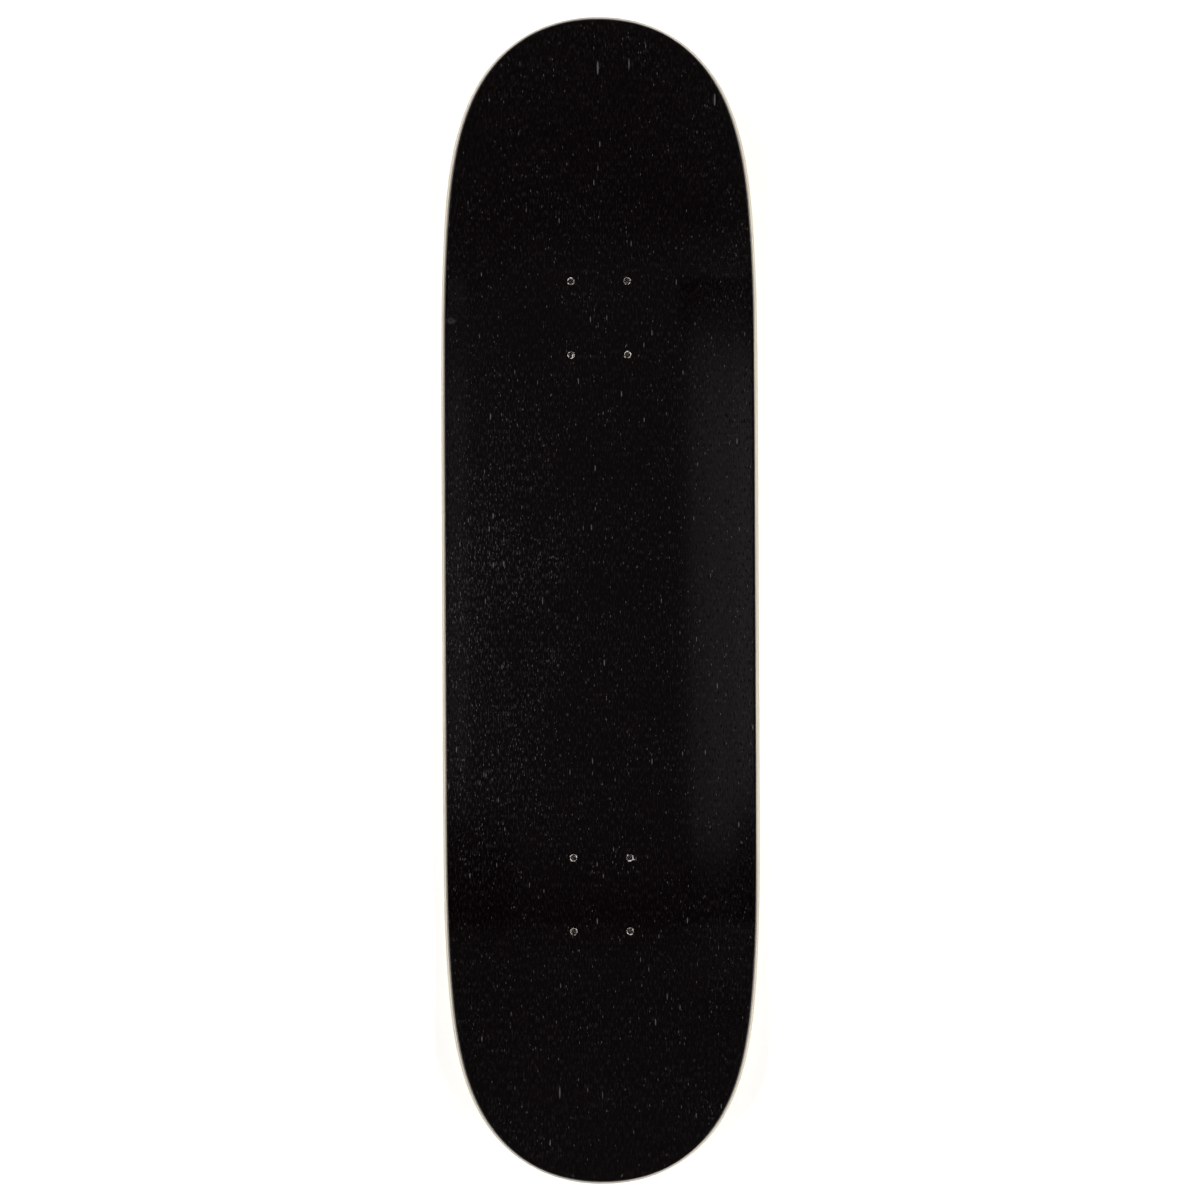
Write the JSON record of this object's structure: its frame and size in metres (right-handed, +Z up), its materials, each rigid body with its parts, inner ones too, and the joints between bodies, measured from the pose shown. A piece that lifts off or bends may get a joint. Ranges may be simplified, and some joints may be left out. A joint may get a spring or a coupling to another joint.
{
  "type": "skateboard deck",
  "caption": "Bare laminated maple skateboard deck with kicked nose and tail, curled rails, a glossy black top face and drilled truck bolt holes",
  "frame": {"origin": "under the middle of the board's length and width, on the surface that the board lies on", "axes": "X across the board, Y along the board towards the nose, Z up through the top face"},
  "size_m": [0.232, 0.8362, 0.0682],
  "materials": {
    "maple": "sealed rotary-cut maple, grain along the board",
    "crossband_maple": "sealed rotary-cut maple, grain across the board",
    "glue": "hardened wood glue",
    "coat": "glossy black coat with open wood pores"
  },
  "bodies": {
    "root": {"bottom_face": "maple", "bottom_core": "maple", "bottom_crossband": "crossband_maple", "middle_core": "maple", "top_crossband": "crossband_maple", "top_core": "maple", "top_face": "maple", "glue_line_1": "glue", "glue_line_2": "glue", "glue_line_3": "glue", "glue_line_4": "glue", "glue_line_5": "glue", "glue_line_6": "glue", "black_coat": "coat"}
  },
  "joints": []
}
